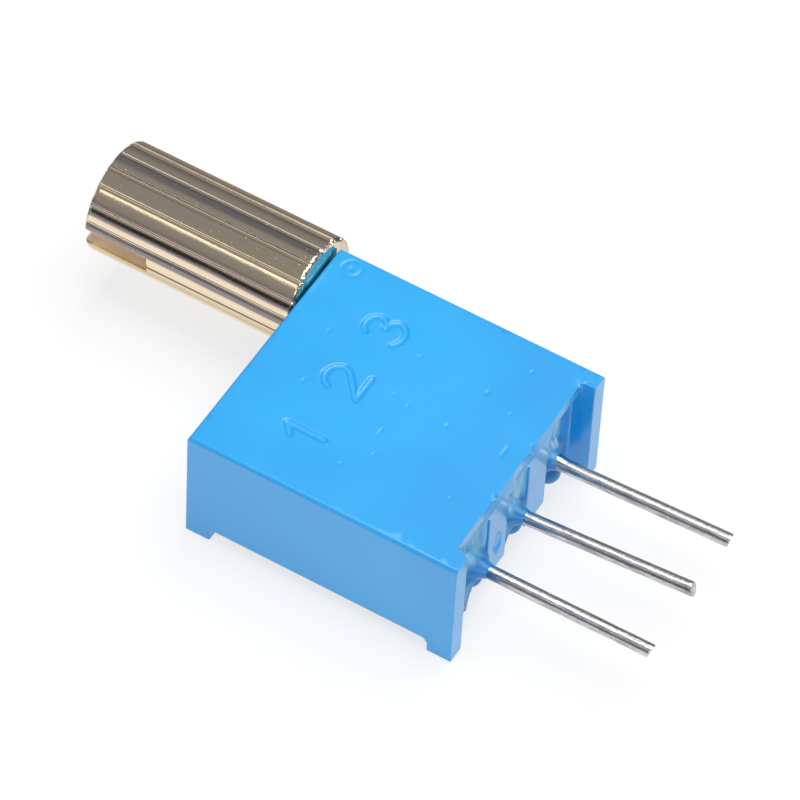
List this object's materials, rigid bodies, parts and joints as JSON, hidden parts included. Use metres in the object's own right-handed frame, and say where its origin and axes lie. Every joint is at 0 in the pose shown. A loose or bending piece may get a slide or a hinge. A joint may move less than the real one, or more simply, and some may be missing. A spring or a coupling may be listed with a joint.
{
  "type": "trimmer potentiometer",
  "caption": "Multi-turn trimming potentiometer in a square moulded housing, with a knurled brass adjusting knob at one side and round in-line terminals.",
  "frame": {"origin": "on the middle terminal's axis, in the plane where the standoffs meet a circuit board", "axes": "+Y from the terminals to the knob, +Z out of the front face, +X towards the side that holds the knob"},
  "size_m": [0.0104, 0.0243, 0.0056],
  "materials": {
    "housing_blue": "moulded, smooth, satin gloss",
    "brass": "turned and knurled, bright",
    "seal_rubber": "matt",
    "spring_steel": "stamped",
    "wheel_plastic": "moulded",
    "wiper_alloy": "stamped and bent, bright",
    "alumina": "as fired",
    "cermet": "printed and fired film",
    "silver_film": "printed and fired film",
    "tinned_wire": "tinned, bright",
    "solder": "soldered",
    "resin": "cast resin, glossy"
  },
  "bodies": {
    "body": {"housing": "housing_blue", "retaining_clip": "spring_steel", "ceramic_plate": "alumina", "resistive_track": "cermet", "end_conductor_1": "silver_film", "end_conductor_3": "silver_film", "collector_ring": "silver_film", "back_pads": "silver_film", "terminal_1": "tinned_wire", "terminal_2": "tinned_wire", "terminal_3": "tinned_wire", "solder_joint_1": "solder", "solder_joint_2": "solder", "solder_joint_3": "solder", "potting": "resin"},
    "adjuster": {"adjuster": "brass", "shaft_seal": "seal_rubber"},
    "rotor": {"worm_wheel": "wheel_plastic", "wiper": "wiper_alloy"}
  },
  "joints": [
    {"name": "knob_spin", "type": "hinge", "parent": "body", "child": "adjuster", "pos_m": [0.00357, 0.01, 0.00118], "axis": [0, 1, 0], "range_deg": [-4500, 4500]},
    {"name": "wheel_spin", "type": "hinge", "parent": "body", "child": "rotor", "pos_m": [0, 0.00532, 0.00118], "axis": [0, 0, 1], "range_deg": [-136.5, 136.5]}
  ],
  "couplings": [
    {"joint": "wheel_spin", "follows": "knob_spin", "ratio": 0.030303}
  ]
}
